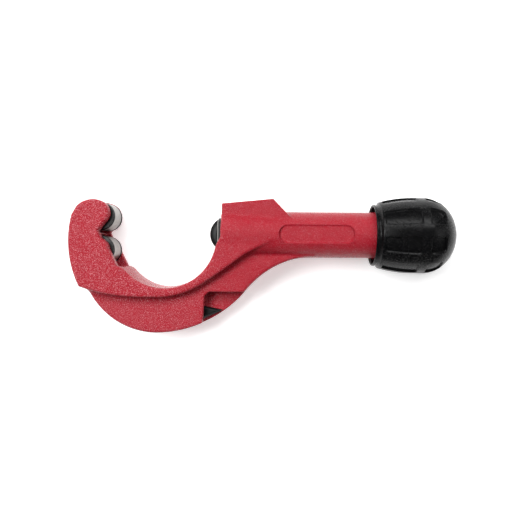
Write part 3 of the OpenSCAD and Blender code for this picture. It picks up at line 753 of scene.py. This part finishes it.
piece = sculpt("endScrew", panHead, (knob["recess"] - 8.6, -4, -4), (knob["recess"] + 2.6, 4, 4), 0.18)
place(piece, "knob_screw", "feed_knob", zincPlate)
print("knob made")

# folding blade
bladeOutline = (turn((0, 0), blade["half"], 90, 270, 24)
                + [(blade["len"] - blade["point"], -blade["half"] + 0.7), (blade["len"], blade["tipRise"]),
                   (blade["len"] - blade["point"], blade["half"] - 0.8)])


def reamerBlade(x, y, z):
    u, v = x - pivotX, y - pivotY
    mid = blade["top"] - blade["t"] / 2
    flat = outline(bladeOutline, u, v)
    body = both(flat, np.abs(z - mid) - blade["t"] / 2, 0.12)
    grind = (np.abs(z - mid) - 0.25 + 1.1 * flat) * 0.67      # ground to an edge beyond the pivot
    edged = np.maximum(body, np.where(u > 9, grind, body))
    return cut(edged, np.hypot(u, v) - blade["pinR"] - 0.05, 0.12)


piece = sculpt("reamerBlade", reamerBlade, (pivotX - 5, pivotY - 5, -1.6), (pivotX + 39, pivotY + 5, 1.2),
               0.22)
place(piece, "deburring_blade", "blade", bladeSteel)


def pivotScrew(x, y, z):
    around = np.hypot(x - pivotX, y - pivotY)
    back = -cast["webT"] / 2 + 0.1
    shank = np.maximum(around - blade["pinR"] + 0.01, slab(z, back + 1, 3.5))
    cone = (around - blade["pinR"] - 1.9 + (z - back)) * math.sqrt(0.5)
    cone = np.maximum(cone, slab(z, back, back + 1.9))
    across, up = np.abs(x - pivotX), np.abs(y - pivotY)
    hexagon = np.maximum(across * math.sqrt(0.75) + up * 0.5, up) - 1.25
    return cut(np.minimum(shank, cone), np.maximum(hexagon, z - back - 1.3), 0.1)


piece = sculpt("pivotScrew", pivotScrew, (pivotX - 4, pivotY - 4, -5), (pivotX + 4, pivotY + 4, 3.6), 0.18)
place(piece, "blade_pivot_screw", "cutter_frame", slideSteel)
print("blade made")

# small pieces that keep their CAD shape
for node, material in (("bush_lock_screw", slideSteel), ("knob_drive_insert", turnedBrass),
                       ("knob_washer", zincPlate), ("blade_wave_washer", pinSteel)):
    o = frame["nodes"][node]
    o.data.materials.clear()
    o.data.materials.append(material)

# stage, light and camera
stage = {"tiltDeg": 2.6, "distance": 0.225, "lookX": 16.9, "lookY": -11.45, "rollDeg": 0.579,
         "sensor": 36.0, "focal": 34.6154, "floorGlow": 0.46, "room": 0.11}
tiltA = math.radians(stage["tiltDeg"])
upright = Vector((math.sin(tiltA), 0, math.cos(tiltA)))      # the tool rests on its knob and its hook
rightward = Vector((math.cos(tiltA), 0, -math.sin(tiltA)))
northward = Vector((0, 1, 0))
lookAt = origin + Vector((stage["lookX"], stage["lookY"], 0)) * mm

lowest = min(((Vector(v.co) - lookAt).dot(upright) for v in casting.data.vertices))
knobRest = (origin + Vector((knob["barrelEnd"], 0, 0)) * mm - lookAt).dot(upright) - knob["maxR"] * mm
floorLevel = min(lowest, knobRest) - 0.00005

bpy.ops.mesh.primitive_plane_add(size=6)
floor = bpy.context.object
floor.name = "paleFloor"
floor.matrix_world = Matrix((
    (rightward.x, northward.x, upright.x, 0), (rightward.y, northward.y, upright.y, 0),
    (rightward.z, northward.z, upright.z, 0), (0, 0, 0, 1)))
floor.location = lookAt + upright * floorLevel
floorPaint, _, shader, _ = startMaterial("matteWhitePaper")
shader.inputs["Base Color"].default_value = linear("#f8f8f8")
shader.inputs["Roughness"].default_value = 0.9
shader.inputs["Specular IOR Level"].default_value = 0.1
shader.inputs["Emission Color"].default_value = linear("#ffffff")
shader.inputs["Emission Strength"].default_value = stage["floorGlow"]
floor.data.materials.append(floorPaint)

rollA = math.radians(stage["rollDeg"])
imageRight = math.cos(rollA) * rightward + math.sin(rollA) * northward
imageUp = -math.sin(rollA) * rightward + math.cos(rollA) * northward
camera = bpy.data.objects.new("camera", bpy.data.cameras.new("camera"))
camera.data.lens = stage["focal"]
camera.data.sensor_width = stage["sensor"]
camera.data.clip_start = 0.01
bpy.context.scene.collection.objects.link(camera)
eye = lookAt + upright * stage["distance"]
camera.matrix_world = Matrix((
    (imageRight.x, imageUp.x, upright.x, eye.x), (imageRight.y, imageUp.y, upright.y, eye.y),
    (imageRight.z, imageUp.z, upright.z, eye.z), (0, 0, 0, 1)))
bpy.context.scene.camera = camera


def softbox(name, place3d, size, power):
    light = bpy.data.lights.new(name, "AREA")
    light.shape = "RECTANGLE"
    light.size, light.size_y = size
    light.energy = power
    o = bpy.data.objects.new(name, light)
    bpy.context.scene.collection.objects.link(o)
    o.location = lookAt + Vector(place3d)
    o.rotation_euler = (lookAt - o.location).to_track_quat("-Z", "Y").to_euler()


softbox("keyLeft", (-0.44, 0.16, 0.76), (0.36, 0.4), 6.2)
softbox("keyTop", (0.02, 0.36, 0.46), (0.66, 0.26), 3.0)
softbox("fillRight", (0.7, 0.05, 0.6), (0.4, 0.6), 1.2)
world = bpy.data.worlds.new("paleRoom")
world.use_nodes = True
world.node_tree.nodes["Background"].inputs[0].default_value = linear("#ffffff")
world.node_tree.nodes["Background"].inputs[1].default_value = stage["room"]
bpy.context.scene.world = world
bpy.context.scene.view_settings.view_transform = "Standard"
print("stage set")
